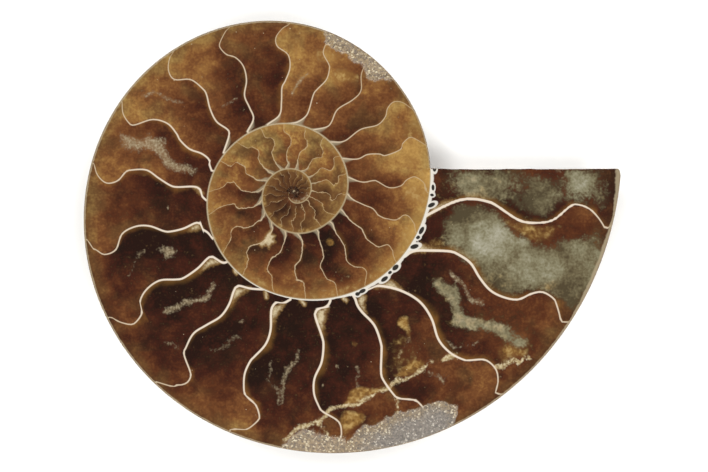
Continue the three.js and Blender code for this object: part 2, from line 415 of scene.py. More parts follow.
# Grey-green chalcedony, in the last chambers and as a crystal-lined hollow in the one before.
chalcedony = highest([
    patch([(452, 168), (518, 168), (512, 190), (500, 204), (482, 197), (460, 198), (452, 190)], 14),
    patch([(530, 176), (556, 180), (560, 205), (545, 218), (528, 217), (520, 200)], 12),
    patch([(562, 170), (603, 170), (600, 192), (585, 200), (565, 192)], 13),
    patch([(440, 222), (455, 206), (475, 203), (497, 209), (505, 222), (520, 236), (545, 246), (570, 240),
           (600, 232), (603, 255), (590, 288), (572, 312), (562, 300), (548, 290), (532, 290), (512, 296),
           (497, 292), (484, 282), (474, 266), (458, 252), (446, 246)], 10),
    stroke([(437, 283), (450, 290), (455, 305), (460, 320), (475, 325), (490, 325), (505, 332),
            (518, 340)], 13),
    0.62 * patch([(440, 172), (612, 170), (606, 215), (590, 205), (570, 203), (552, 216), (520, 216),
                 (495, 203), (470, 196), (445, 204)], 10),
])

# Pale crystal inclusions that shine through the calcite as grey-white bands, threads and specks.
inclusion = highest([
    patch([(120, 133), (130, 135), (140, 137), (149, 131), (157, 137), (163, 140), (166, 148), (172, 156),
           (180, 162), (199, 168), (195, 172), (180, 172), (170, 171), (163, 165), (158, 157), (152, 151),
           (143, 149), (137, 153), (122, 148)], 4),
    patch([(160, 249), (169, 247), (178, 251), (172, 258), (163, 259)], 4),
    0.62 * stroke([(145, 248), (137, 253), (134, 262), (132, 268), (128, 273)], 4),
    stroke([(163, 312), (170, 307), (180, 305), (192, 302), (200, 299), (207, 293), (211, 286)], 6),
    0.6 * stroke([(165, 340), (172, 343), (178, 348)], 4),
    0.66 * stroke([(207, 350), (215, 350), (222, 347), (230, 341), (238, 338)], 5),
    0.8 * stroke([(270, 362), (271, 370), (269, 380), (272, 385), (276, 388), (278, 395), (277, 403)], 4),
    0.8 * stroke([(296, 352), (294, 360), (287, 368), (284, 375), (281, 383), (281, 390), (282, 405)], 4),
    0.8 * stroke([(355, 365), (358, 370), (356, 378), (358, 386)], 4),
    0.75 * stroke([(429, 373), (436, 376), (442, 384)], 3.5), 0.7 * stroke([(436, 376), (448, 377)], 3),
    0.75 * stroke([(409, 335), (407, 343), (402, 350), (398, 356)], 4),
    stroke([(450, 272), (457, 280), (462, 287), (467, 292), (472, 299), (480, 303)], 4),
    0.8 * stroke([(443, 340), (449, 343), (453, 348), (460, 346), (470, 343), (478, 341)], 4),
    stroke([(292, 91), (298, 83), (302, 77), (308, 72)], 4.5),
    0.85 * stroke([(222, 106), (228, 105), (238, 97)], 3.5),
    0.75 * stroke([(143, 94), (155, 93), (166, 100), (180, 103)], 3.5),
    0.7 * stroke([(555, 170), (567, 180)], 4),
    spot(168, 209, 2, 2), spot(243, 319, 2, 2), spot(323, 383, 2, 2), spot(338, 366, 2, 3),
    stroke([(307.8, 195), (305.5, 198.8), (299.5, 202.5), (294.3, 201.8), (289.8, 199.1)], 3),
    spot(292.4, 192, 1.3, 1.3), spot(296.5, 194.3, 1, 1.6),
])

# Clear yellow-amber calcite, along the crack and in a few chambers.
amber = highest([
    patch([(340, 405), (347, 397), (349, 391), (355, 388.5), (370, 387), (385, 385), (380, 392),
           (360, 402)], 3),
    patch([(395, 380), (398, 372), (403, 365), (410, 362), (418, 360), (428, 364), (415, 372)], 3),
    patch([(341, 420), (347, 411), (360, 409), (364, 419), (357, 427), (343, 434)], 4),
    0.8 * patch([(495, 350), (510, 342), (528, 346), (526, 358), (505, 362)], 7),
    spot(403, 322, 5, 5), 0.8 * stroke([(403, 322), (409, 335)], 5),
    0.5 * stroke([(437, 283), (455, 305), (460, 320), (490, 325), (518, 340)], 24),
    0.5 * patch([(385, 340), (400, 328), (418, 338), (424, 358), (410, 368), (392, 378), (384, 365)], 12),
    0.45 * spot(470, 186, 40, 14), 0.4 * spot(500, 280, 30, 12),
    spot(328, 241, 4, 4), 0.7 * spot(355, 343, 3, 5),
    0.7 * patch([(498, 214), (540, 226), (560, 224), (548, 242), (530, 240), (508, 226)], 5),
    0.6 * patch([(425, 236), (445, 236), (445, 248), (424, 249)], 6),
    0.6 * spot(550, 284, 8, 5),
    0.7 * spot(325, 55, 14, 9), 0.6 * spot(296, 46, 7, 10), 0.8 * spot(345, 76, 14, 8),
    0.6 * spot(412, 130, 10, 12), 0.55 * spot(408, 160, 8, 10),
    0.7 * spot(412, 193, 9, 16), 0.6 * spot(405, 232, 6, 10), 0.5 * spot(140, 172, 10, 3),
    0.5 * spot(240, 48, 8, 6), 0.5 * spot(205, 66, 10, 8),
    0.6 * smooth_step(0.7, 0.95, node_share) * (node_growth < -6.1),
])

# A healed crack across the lower chambers, lined with fine pale crystals.
crack = highest([
    stroke([(320, 417), (330, 410), (340, 406), (350, 404), (360, 402), (368, 398), (374, 393),
            (382, 389), (390, 386), (396, 383), (402, 379), (412, 373), (418, 370), (425, 368),
            (428, 364), (433, 360)], 4),
    stroke([(443, 358), (450, 355), (455, 357)], 4),
    stroke([(320, 417), (315, 422), (305, 427), (292, 430), (283, 440)], 4),
    stroke([(315, 422), (322, 428), (328, 434), (332, 440)], 3.5),
    0.9 * stroke([(394, 397), (397, 408), (396, 414), (393, 420)], 3.5),
    stroke([(495, 366), (501, 365), (506, 362.5), (512, 361.5), (518, 363), (523, 360), (531, 356.5)], 4),
])

# Sugary crystal patches that the polish has not closed, at two places on the rim.
grains = highest([
    patch([(345, 440), (362, 428), (380, 421), (390, 418), (400, 411), (418, 409), (428, 404),
           (440, 399.5), (454, 404), (457, 410), (452, 421), (452, 440), (360, 470), (335, 460)], 5),
    0.72 * patch([(280, 444), (292, 432), (305, 430), (320, 433), (345, 436), (350, 470), (280, 460)], 5),
    patch([(322, 32), (325, 40), (333, 47), (345, 53), (352, 58), (360, 62), (364, 70), (369, 78),
           (378, 80), (388, 79), (400, 80), (380, 40), (340, 20)], 5),
])

# Where the chalcedony is milkiest and the sugary crystals are mauve.
paleness = highest([
    patch([(362, 448), (376, 432), (400, 422), (425, 411), (446, 409), (453, 422), (440, 442),
           (400, 456)], 14),
    0.68 * spot(492, 242, 36, 22), 0.55 * spot(530, 268, 36, 18), 0.36 * spot(585, 262, 22, 24),
    0.36 * spot(480, 183, 34, 14), 0.2 * spot(543, 198, 14, 16), 0.46 * spot(582, 184, 20, 13),
    0.5 * stroke([(437, 283), (455, 305), (460, 320), (490, 325), (518, 340)], 24),
])

# White shell of the older whorl, left thick beside the last chambers, with small dark cells in it.
growth_degrees = np.degrees(node_growth)
in_outer_whorl = growth_degrees > -350
band_width = np.interp(growth_degrees, [-150, -95, -68, -58, 5], [0.02, 0.16, 0.3, 0.6, 0.6])
dorsal_gap = np.where(in_outer_whorl, node_share * whorl_height / band_width, 9)
SHELL_CELLS = [
    (432.5, 187, 1.6, 3.2, 0), (431.5, 194.5, 2.2, 1.6, 0), (431, 204.5, 4.2, 2.1, 25),
    (421, 230, 2.1, 4.4, -30), (417.5, 237, 2.4, 1.7, 20), (414, 246, 4.6, 2.3, 15),
    (395, 267, 2.4, 3.8, -50), (389.5, 272, 2.2, 1.6, 30), (384, 278.5, 4.2, 2.1, 35),
    (362, 290.5, 3.6, 2.0, 25), (357, 293.5, 2.4, 2.0, 0), (434, 168, 2.0, 3.4, 0),
]

# The shell's own outlines are clean, so the rest is drawn without the wander.
node_pixel = true_pixel
cells = np.full(node_count, 3.0)
for x, y, wide, high, tilt in SHELL_CELLS:
    lean = math.radians(tilt)
    right = node_pixel[:, 0] - x
    down = node_pixel[:, 1] - y
    across_cell = (right * math.cos(lean) - down * math.sin(lean)) / wide
    along_cell = (right * math.sin(lean) + down * math.cos(lean)) / high
    cells = np.minimum(cells, np.hypot(across_cell, along_cell))
cells = np.where(in_outer_whorl, cells, 3)

# Shell flares out from the chamber walls where they meet the older whorl: cream wedges in the knees
# of the last walls, and grey-tan corners beside the older ones.
cream = highest([
    patch([(316, 310), (327, 306), (325, 317), (322.5, 327), (321, 335), (316, 320)], 3.5),
    patch([(272, 306), (284, 303.5), (281, 308), (276, 316), (271.5, 324), (270.5, 314)], 3.5),
    patch([(235, 288), (250, 287.5), (243.5, 291.5), (237, 297), (231, 304.5), (232, 293)], 3.5),
    patch([(203, 264), (212, 257.5), (222, 262), (215, 263.5), (208, 266), (200, 271)], 3),
    patch([(190, 226), (197, 222.5), (202, 227.5), (196.4, 229.7), (188.7, 230.7)], 3),
    patch([(192, 186), (198, 187), (202.8, 193), (200.2, 194.2), (196, 190.3)], 3),
    patch([(356, 300), (362, 294), (366, 296), (364, 304), (366, 314), (361, 309)], 3),
    patch([(374, 287), (390, 280), (400, 287), (402, 290), (386, 287)], 3.5),
    patch([(410, 252), (421, 243), (428, 246), (440, 250), (424, 251)], 3.5),
    patch([(426, 216), (434, 206), (447, 200), (455, 200), (440, 208)], 3.5),
    patch([(271, 229), (271, 234), (275, 235), (272.5, 239), (275, 242), (270.5, 243), (269, 248.5),
           (265.5, 244), (261, 247), (258, 243), (263, 240), (266, 233)], 2),
    stroke([(265, 291), (266, 297)], 3.5), stroke([(300, 299), (304, 304)], 3.5),
    stroke([(343, 298), (346, 300)], 3.5), stroke([(234, 270), (236, 273)], 3.5),
])
inner_gap_mm = node_share * whorl_height
outer_gap_mm = (1 - node_share) * whorl_height
flare_reach = 0.95 * np.clip(1 - inner_gap_mm / 2.0, 0, 1)
flare_reach *= np.interp(growth_degrees, [-760, -700, -560, -215, -190], [0.0, 0.35, 1.0, 1.0, 0.0])
flare_reach = np.maximum(flare_reach, 0.01)

# The wall between two whorls, which gets thinner inwards, and the thicker one along the rim.
wall_half_width = np.interp(growth_degrees, [-1440, -1080, -760, -350], [0.05, 0.09, 0.15, 0.18])
whorl_wall = np.minimum(inner_gap_mm, np.where(in_outer_whorl, 9, outer_gap_mm)) / wall_half_width
whorl_wall = np.where(node_radius < NUCLEUS_RADIUS, 9, whorl_wall)
rim_width = np.interp(growth_degrees, [-345, -300, -200, -60, -25, -18, -8, -4, 0, 4],
                      [0.25, 0.3, 0.35, 0.25, 0.35, 0.7, 0.7, 0.35, 0.8, 1.1])
rim_gap = np.where(in_outer_whorl, outer_gap_mm / rim_width, 9)

septum_half_width = np.interp(growth_degrees, [-900, -760, -620, -300, -160, -60, 0],
                              [-0.01, 0.035, 0.045, 0.08, 0.14, 0.17, 0.19])
septum_half_width *= np.interp(node_share, [0, 0.5, 0.8, 1], [1.15, 1.0, 0.75, 0.5])
septum_half_width = np.where(node_radius < 2.2, -0.5, septum_half_width)

# Light that comes through the calcite beside a chamber wall, widest halfway along the wall.
glow_width = 6 * septum_half_width * smooth_step(0.06, 0.2, node_share)
glow_width *= 0.5 + 0.5 * np.sin(math.pi * np.clip(node_share, 0, 1))
glow_width = np.where(glow_width < 0.05, -1, glow_width)
frill = np.interp(growth_degrees, [-720, -690, -480, -380, -330], [0.85, 0.55, 0.5, 0.25, 0.0])
face_data = {
    "wall_place": np.stack([place, place_slope, septum_half_width], 1),
    "walls": np.stack([whorl_wall, cream, tone], 1),
    "fill": np.stack([chalcedony, amber, inclusion], 1),
    "breaks": np.stack([crack, grains, paleness], 1),
    "shell_band": np.stack([dorsal_gap, cells, frill], 1),
    "flare": np.stack([flare_reach, glow_width, rim_gap], 1),
}

# The worn back of the shell: a flank from the seam over its crest to the rim, for the outer whorl
# and for the two older whorls that show in the umbilicus, with low sickle-shaped ribs.
SEAM_SHARE = 0.27
CREST_SHARE = 0.45
COVERED_SHARE = 0.65
HALF_BREADTH = 11.8
BREADTH_POWER = 0.5
FLANK_FULLNESS = (1.8, 0.62)
SHOULDER_POWER = 2.4
FIRST_SEAM_DEPTH_SHARE = 0.39
RIBS_PER_TURN = 32
RIB_HEIGHT_SHARE = 0.006
RIB_SWEEP = 0.32
BACK_TURNS = 3
SEAM_ROWS = 9
FLANK_ROWS = 20
BACK_LAST = COLUMNS * BACK_TURNS
BACK_OUTER_START = BACK_LAST - COLUMNS


def flank_radii(growth, whole):
    outer = float(wall_radius(growth))
    covered = COVERED_SHARE * outer
    if growth + FULL_TURN <= MOUTH_GROWTH + 1e-6:
        covered = SEAM_SHARE * float(wall_radius(growth + FULL_TURN))
    radii = np.linspace(SEAM_SHARE * outer, covered, SEAM_ROWS + 1)
    if not whole:
        return radii
    steps = np.sin(np.linspace(0, math.pi / 2, FLANK_ROWS + 1))[1:]
    return np.concatenate([radii, covered + (outer - covered) * steps])


def swing_to_mouth(radii):
    return np.arcsin(MOUTH_OFFSET / radii) - MOUTH_GROWTH


def flank_depth(growth, radii, seam_depth):
    outer = float(wall_radius(growth))
    breadth = HALF_BREADTH * (outer / WALL_RADII[0]) ** BREADTH_POWER
    share = radii / outer
    climb = np.clip((share - SEAM_SHARE) / (CREST_SHARE - SEAM_SHARE), 0, 1)
    shoulder = seam_depth + (breadth - seam_depth) * (1 - (1 - climb) ** SHOULDER_POWER)
    reach = np.clip((share - CREST_SHARE) / (1 - CREST_SHARE), 0, 1)
    flank = breadth * (1 - reach ** FLANK_FULLNESS[0]) ** FLANK_FULLNESS[1]
    bend = RIB_SWEEP * (reach ** 2 - 0.5 * np.sin(math.pi * reach))
    rib = np.sin(math.pi * reach) * np.cos(RIBS_PER_TURN * (growth - bend))
    flank = flank + RIB_HEIGHT_SHARE * outer * rib
    return np.minimum(np.where(share < CREST_SHARE, shoulder, flank), THICKNESS)


mouth_radii = flank_radii(MOUTH_GROWTH, True)
seam_swing = float(swing_to_mouth(mouth_radii[:1])[0])
older_growth = MOUTH_GROWTH - FULL_TURN
older_radii = flank_radii(older_growth, True)[SEAM_ROWS:]
widening = np.linspace(0, 1, FLANK_ROWS + 1)
older_swing = swing_to_mouth(older_radii)
for _ in range(3):
    grown = wall_radius(older_growth + older_swing) / wall_radius(older_growth)
    older_swing = swing_to_mouth(older_radii * (1 + (grown - 1) * widening))
older_swing = np.concatenate([seam_swing * np.linspace(0, 1, SEAM_ROWS + 1), older_swing[1:]])

back_columns = []
back_points = []
back_weld = []
back_data = []
back_count = 0
for column in range(BACK_LAST + 1):
    growth = MOUTH_GROWTH - (BACK_LAST - column) / COLUMNS * FULL_TURN
    whole = column >= BACK_OUTER_START
    radii = flank_radii(growth, whole)
    near_mouth = mouth_ease(column - BACK_LAST)
    near_older = mouth_ease(column - BACK_OUTER_START)
    swing = near_older * older_swing[:len(radii)]
    if near_mouth > 0 and whole:
        swing = near_mouth * swing_to_mouth(mouth_radii)
    grown = wall_radius(np.minimum(growth + swing, MOUTH_GROWTH)) / wall_radius(growth)
    rows = np.arange(len(radii))
    spread = radii * (1 + (grown - 1) * np.clip((rows - SEAM_ROWS) / FLANK_ROWS, 0, 1))
    if column >= COLUMNS:
        seam_depth = -back_points[column - COLUMNS][SEAM_ROWS, 2]
    else:
        size_share = float(wall_radius(growth) / WALL_RADII[0])
        seam_depth = FIRST_SEAM_DEPTH_SHARE * HALF_BREADTH * size_share ** BREADTH_POWER
    depth = flank_depth(growth, radii, seam_depth)
    if whole:
        depth[-1] = EDGE_BEVEL
    nodes = np.arange(back_count, back_count + len(radii))
    weld = nodes.copy()
    if column >= COLUMNS:
        weld[0] = back_columns[column - COLUMNS][SEAM_ROWS]
    back_columns.append(nodes)
    angle = growth + swing
    back_points.append(np.stack([spread * np.cos(angle), spread * np.sin(angle), -depth], 1))
    back_weld.append(weld)
    reach = (radii / float(wall_radius(growth)) - CREST_SHARE) / (1 - CREST_SHARE)
    bend = RIB_SWEEP * (reach ** 2 - 0.5 * np.sin(math.pi * reach))
    back_data.append(np.stack([np.degrees(growth - bend), reach, radii], 1))
    back_count += len(radii)

# All points of the piece in one list: the face's, the back's, the mouth's and the two middles.
face_points = np.stack([node_x, node_y, np.zeros(node_count)], 1)
rim_nodes = np.array([column[-1] for column in face_columns[OUTER_START:]])
face_points[rim_nodes, :2] *= 1 - EDGE_BEVEL / node_radius[rim_nodes][:, None]
mouth_x = face_points[face_columns[-1], 0]
mouth_chips = 0.5 + 0.3 * np.sin(0.45 * mouth_x) + 0.2 * np.sin(1.7 * mouth_x)
face_points[face_columns[-1], 1] -= EDGE_BEVEL + MOUTH_CHIPPING * mouth_chips

# The sugary patches stand a little below the polish, with crystal points as rough as the mesh allows.
GRAIN_SINK = 0.10
GRAIN_ROUGHNESS = 0.16
grain_height = rng.random(node_count)
sunk = smooth_step(0.6, 1.0, grains)
face_points[:, 2] -= sunk * (GRAIN_SINK + GRAIN_ROUGHNESS * grain_height)

back_offset = node_count
back_columns = [column + back_offset for column in back_columns]
points = np.concatenate([face_points] + back_points)
weld = np.concatenate([node_weld, np.concatenate(back_weld) + back_offset])

# The mouth is a break through the last chamber: a slightly hollow, uneven wall.
MOUTH_ROWS = 6
MOUTH_HOLLOW = 0.5
upper = np.concatenate([back_columns[BACK_OUTER_START][SEAM_ROWS:], face_columns[-1]])
lower = np.concatenate([back_columns[-1], face_columns[-1][-1:]])
upper = weld[upper]
lower = weld[lower]
upper_place = np.linspace(0, 1, len(upper))
lower_place = np.linspace(0, 1, len(lower))
lower_points = np.stack([np.interp(upper_place, lower_place, points[lower, axis]) for axis in range(3)], 1)
mouth_rows = [upper]
mouth_points = []
next_node = len(points)
for row in range(1, MOUTH_ROWS):
    t = row / MOUTH_ROWS
    line = points[upper] * (1 - t) + lower_points * t
    ripple = 0.45 * np.sin(line[:, 0] * 2.1 + line[:, 2] * 1.3)
    rough = 0.55 + ripple * np.cos(line[:, 2] * 2.7 - line[:, 0] * 0.6)
    line[:, 1] -= MOUTH_HOLLOW * math.sin(math.pi * t) * np.sin(math.pi * upper_place) * rough
    inside = np.arange(next_node, next_node + len(upper) - 2)
    mouth_points.append(line[1:-1])
    mouth_rows.append(np.concatenate([upper[:1], inside, upper[-1:]]))
    next_node += len(upper) - 2
mouth_rows.append(lower)

# The face's middle point stands a little aside, so that its fan has no facet without area.
FACE_MIDDLE_SHIFT = 0.04
BACK_MIDDLE_SHARE = 0.35
face_middle = next_node
back_middle = next_node + 1
back_middle_depth = FIRST_SEAM_DEPTH_SHARE * HALF_BREADTH * BACK_MIDDLE_SHARE
middles = [[0, -FACE_MIDDLE_SHIFT, 0], [0, 0, -back_middle_depth]]
points = np.concatenate([points] + mouth_points + [middles])
weld = np.concatenate([weld, np.arange(len(weld), len(points))])


def fan(middle, columns, rows, upwards):
    loop = [column[0] for column in columns[:COLUMNS + 1]]
    loop += list(columns[0][rows - 1:0:-1])
    loop = np.array(loop)
    ahead = np.roll(loop, -1)
    centre = np.full(len(loop), middle)
    return np.stack([centre, loop, ahead], 1) if upwards else np.stack([centre, ahead, loop], 1)


face_facets.append(fan(face_middle, face_columns, FACE_ROWS[0], True))
back_facets = []
for column, (a, b) in enumerate(zip(back_columns[:-1], back_columns[1:])):
    rows = SEAM_ROWS + 1 if column < BACK_OUTER_START else SEAM_ROWS + FLANK_ROWS + 1
    back_facets.append(zip_rows(a[:rows], b[:rows]))
back_facets.append(fan(back_middle, back_columns, SEAM_ROWS, False))
back_rim = np.array([column[-1] for column in back_columns[BACK_OUTER_START:]])
back_facets.append(zip_rows(rim_nodes, back_rim))
mouth_facets = [zip_rows(b, a) for a, b in zip(mouth_rows[:-1], mouth_rows[1:])]

facets = np.concatenate(face_facets + back_facets + mouth_facets)
on_face = np.arange(len(facets)) < sum(len(part) for part in face_facets)
corners = weld[facets]
whole_facets = (corners != np.roll(corners, 1, axis=1)).all(axis=1)
facets = facets[whole_facets]
corners = corners[whole_facets]
on_face = on_face[whole_facets]

# The outer corner of the mouth is rounded off.
corner_x = MOUTH_CORNER_RADIUS * math.cos(MOUTH_GROWTH) - MOUTH_CORNER_ROUNDING
corner_y = MOUTH_OFFSET - MOUTH_CORNER_ROUNDING
past = points[:, :2] - (corner_x, corner_y)
reach = np.hypot(past[:, 0], past[:, 1])
outside = (past[:, 0] > 0) & (past[:, 1] > 0) & (reach > MOUTH_CORNER_ROUNDING)
shrink = np.where(outside, MOUTH_CORNER_ROUNDING / np.maximum(reach, 1e-9), 1)
points[:, :2] = (corner_x, corner_y) + past * shrink[:, None]

SHARP_ANGLE = math.radians(35)
used, corner_index = np.unique(corners, return_inverse=True)
corner_index = corner_index.reshape(corners.shape)
outline = points[back_rim]
box_middle = (outline.min(0) + outline.max(0)) / 2
placed = (points[used] - (box_middle[0], box_middle[1], 0) + (0, 0, THICKNESS)) * MM
mesh = bpy.data.meshes.new("ammonite_half_look")
mesh.from_pydata(placed.tolist(), [], corner_index.tolist())
for name, values in face_data.items():
    values_at = np.zeros((len(points), 3))
    values_at[:node_count] = values
    values_at[face_middle] = values[face_columns[0][0]]
    if name == "wall_place":
        values_at[back_offset:back_offset + back_count] = np.concatenate(back_data)
    attribute = mesh.attributes.new(name, "FLOAT_VECTOR", "CORNER")
    attribute.data.foreach_set("vector", values_at[facets].astype(np.float32).ravel())
mesh.polygons.foreach_set("material_index", np.where(on_face, 0, 1).astype(np.int32))
mesh.polygons.foreach_set("use_smooth", np.ones(len(facets), bool))
mesh.update()
mesh.set_sharp_from_angle(angle=SHARP_ANGLE)
ammonite = bpy.data.objects.new("ammonite_half_look", mesh)
bpy.context.scene.collection.objects.link(ammonite)


def linear(code):
    values = [int(code[i:i + 2], 16) / 255 for i in (1, 3, 5)]
    return [v / 12.92 if v <= 0.04045 else ((v + 0.055) / 1.055) ** 2.4 for v in values] + [1.0]


# Pattern scale for features of a size in millimetres.
def per_mm(size):
    return 1 / (size * MM)


def add_node(tree, kind, inputs, stops=(), **settings):
    node = tree.nodes.new(kind)
    for name, value in settings.items():
        setattr(node, name, value)
    for name, value in inputs.items():
        if isinstance(value, bpy.types.NodeSocket):
            tree.links.new(value, node.inputs[name])
        else:
            node.inputs[name].default_value = value
    for count, (position, code) in enumerate(stops):
        marks = node.color_ramp.elements
        mark = marks[count] if count < 2 else marks.new(position)
        mark.position = position
        mark.color = linear(code)
    return node.outputs


# Polished calcite: honey to almost black brown, clear and clouded by turns, with a glassy surface.
calcite = bpy.data.materials.new("polished_calcite")
calcite.use_nodes = True
tree = calcite.node_tree
tree.nodes.clear()
coords = add_node(tree, "ShaderNodeTexCoord", {})["Object"]
data = {}
for name in face_data:
    vector = add_node(tree, "ShaderNodeAttribute", {}, attribute_name=name)["Vector"]
    data[name] = add_node(tree, "ShaderNodeSeparateXYZ", {0: vector})
place_on_face, place_slope_on_face, septum_half = data["wall_place"]
whorl_wall_place, cream_share, chamber_tone = data["walls"]
chalcedony_share, amber_share, inclusion_share = data["fill"]
crack_share, grain_share, pale_share = data["breaks"]
band_place, cell_place, frill_share = data["shell_band"]
flare_width, glow_reach, rim_place = data["flare"]

# Clouds in the stone, by their size in millimetres: broad drifts, blotches, flecks and crystal grain.
clouds = {}
for name, size, detail, roughness, distortion in [
    ("drift", 6.5, 2.0, 0.45, 0.3), ("blotch", 2.6, 2.5, 0.5, 0.4), ("fleck", 0.8, 2.0, 0.5, 0.2),
    ("grain", 0.4, 3.0, 0.6, 0.2), ("olive", 4.5, 2.0, 0.5, 0.4), ("veil", 3.6, 2.0, 0.5, 0.5),
]:
    clouds[name] = add_node(tree, "ShaderNodeTexNoise", {
        "Vector": coords, "Scale": per_mm(size), "Detail": detail, "Roughness": roughness,
        "Distortion": distortion,
    })["Fac"]

# Gap in millimetres to the chamber walls on both sides, frilled a little on the inner whorls.
frilling = add_node(tree, "ShaderNodeMath", {0: clouds["fleck"], 1: 0.5}, operation="SUBTRACT")[0]
frilling = add_node(tree, "ShaderNodeMath", {0: frilling, 1: frill_share}, operation="MULTIPLY")[0]
place_frilled = add_node(tree, "ShaderNodeMath", {
    0: frilling, 1: place_slope_on_face, 2: place_on_face,
}, operation="MULTIPLY_ADD")[0]
past_wall = add_node(tree, "ShaderNodeMath", {0: place_frilled}, operation="FRACT")[0]
to_wall = add_node(tree, "ShaderNodeMath", {0: 1.0, 1: past_wall}, operation="SUBTRACT")[0]
gap_before = add_node(tree, "ShaderNodeMath", {0: past_wall, 1: place_slope_on_face}, operation="DIVIDE")[0]
gap_after = add_node(tree, "ShaderNodeMath", {0: to_wall, 1: place_slope_on_face}, operation="DIVIDE")[0]
wall_gap = add_node(tree, "ShaderNodeMath", {0: gap_before, 1: gap_after}, operation="MINIMUM")[0]
septum_edge = add_node(tree, "ShaderNodeMath", {0: wall_gap, 1: septum_half}, operation="SUBTRACT")[0]
flare_after = add_node(tree, "ShaderNodeMath", {0: gap_after, 1: flare_width}, operation="DIVIDE")[0]
flare_before = add_node(tree, "ShaderNodeMath", {0: gap_before, 1: flare_width}, operation="DIVIDE")[0]
glow_place = add_node(tree, "ShaderNodeMath", {0: gap_after, 1: glow_reach}, operation="SUBTRACT")[0]

# A share made ragged by clouds: every entry adds a cloud times an amount, less half of the amount.
ragged = {}
for name, start, amounts in [
    ("tone", chamber_tone, {"drift": 0.45, "blotch": 0.42, "fleck": 0.3, "grain": 0.24}),
    ("chalcedony", chalcedony_share, {"blotch": 0.6, "fleck": 0.45, "grain": 0.3}),
    ("milk", pale_share, {"veil": 0.7, "blotch": 0.6, "fleck": 0.65, "grain": 0.45}),
    ("amber", amber_share, {"blotch": 0.7, "fleck": 0.7}),
    ("inclusion", inclusion_share, {"blotch": 0.8, "fleck": 0.8, "grain": 0.65}),
    ("crack", crack_share, {"blotch": 0.4, "fleck": 0.9, "grain": 0.5}),
    ("cream", cream_share, {"fleck": 0.6, "grain": 0.5}),
    ("rim", rim_place, {"fleck": 0.9}),
    ("band", band_place, {"fleck": 0.7}),
    ("grains", grain_share, {"blotch": 0.8, "fleck": 0.5}),
    ("mauve", pale_share, {"blotch": 0.6, "fleck": 0.3}),
    ("rim_olive", rim_place, {"drift": 12.0, "blotch": 5.0}),
    ("inner_olive", frill_share, {"olive": 1.2, "blotch": 0.8}),
    ("inner_russet", frill_share, {"blotch": -1.3, "fleck": 1.2, "grain": 0.5}),
    ("glow", glow_place, {"drift": 1.6, "blotch": 1.4, "fleck": 0.3}),
]:
    share = start
    for cloud, amount in amounts.items():
        centred = add_node(tree, "ShaderNodeMath", {0: clouds[cloud], 1: 0.5}, operation="SUBTRACT")[0]
        terms = {0: centred, 1: amount, 2: share}
        share = add_node(tree, "ShaderNodeMath", terms, operation="MULTIPLY_ADD")[0]
    ragged[name] = share

honey = add_node(tree, "ShaderNodeValToRGB", {"Fac": ragged["tone"]}, stops=[
    (0.0, "#a27f46"), (1.0, "#1b0c07"), (0.2, "#8b6a38"), (0.36, "#724e28"),
    (0.5, "#5c381d"), (0.66, "#452412"), (0.82, "#31150c"),
])[0]
olive = add_node(tree, "ShaderNodeValToRGB", {"Fac": ragged["tone"]}, stops=[
    (0.0, "#948153"), (1.0, "#160d07"), (0.25, "#756036"), (0.5, "#503b20"), (0.8, "#281a0e"),
])[0]
chalcedony_colour = add_node(tree, "ShaderNodeValToRGB", {"Fac": ragged["milk"]}, stops=[
    (0.0, "#3e3625"), (1.0, "#979485"), (0.25, "#574f39"), (0.5, "#6d6851"), (0.75, "#837f6c"),
])[0]
amber_colour = add_node(tree, "ShaderNodeValToRGB", {"Fac": clouds["fleck"]}, stops=[
    (0.3, "#5f4521"), (0.7, "#a48853"), (0.5, "#816030"),
])[0]
inclusion_colour = add_node(tree, "ShaderNodeValToRGB", {"Fac": clouds["grain"]}, stops=[
    (0.3, "#6d5d44"), (0.7, "#a79b81"), (0.5, "#86775c"),
])[0]
crack_colour = add_node(tree, "ShaderNodeValToRGB", {"Fac": clouds["grain"]}, stops=[
    (0.3, "#7a6644"), (0.7, "#bdb297"), (0.5, "#9e8d68"),
])[0]
septum_colour = add_node(tree, "ShaderNodeValToRGB", {"Fac": septum_half}, stops=[
    (0.04, "#9b8665"), (0.15, "#bdb1a1"),
])[0]

# Tiny bright specks, drawn larger than the dust-fine ones in the stone so that they show.
speck_cells = add_node(tree, "ShaderNodeTexVoronoi", {"Vector": coords, "Scale": per_mm(1.5)})
speck_pick = add_node(tree, "ShaderNodeSeparateColor", {0: speck_cells["Color"]})[0]
specks = add_node(tree, "ShaderNodeMath", {
    0: speck_pick, 1: 0.16, 2: speck_cells["Distance"],
}, operation="MULTIPLY_ADD")[0]

# Sugary crystals: grains a fifth of a millimetre wide, drawn a little coarser so that they show.
sugar = add_node(tree, "ShaderNodeTexVoronoi", {"Vector": coords, "Scale": per_mm(0.24)})
sugar_pick = add_node(tree, "ShaderNodeSeparateColor", {0: sugar["Color"]})[0]
# The grains take brown or mauve tones of their own, and the palest of them are painted glints off crystal
# faces.
brown_grains_and_glints = add_node(tree, "ShaderNodeValToRGB", {"Fac": sugar_pick}, stops=[
    (0.0, "#41311c"), (1.0, "#b5a98b"), (0.5, "#665435"), (0.85, "#7d6845"),
])[0]
mauve_grains_and_glints = add_node(tree, "ShaderNodeValToRGB", {"Fac": sugar_pick}, stops=[
    (0.0, "#3c342a"), (1.0, "#a39b8d"), (0.5, "#564d42"), (0.85, "#675e51"),
])[0]

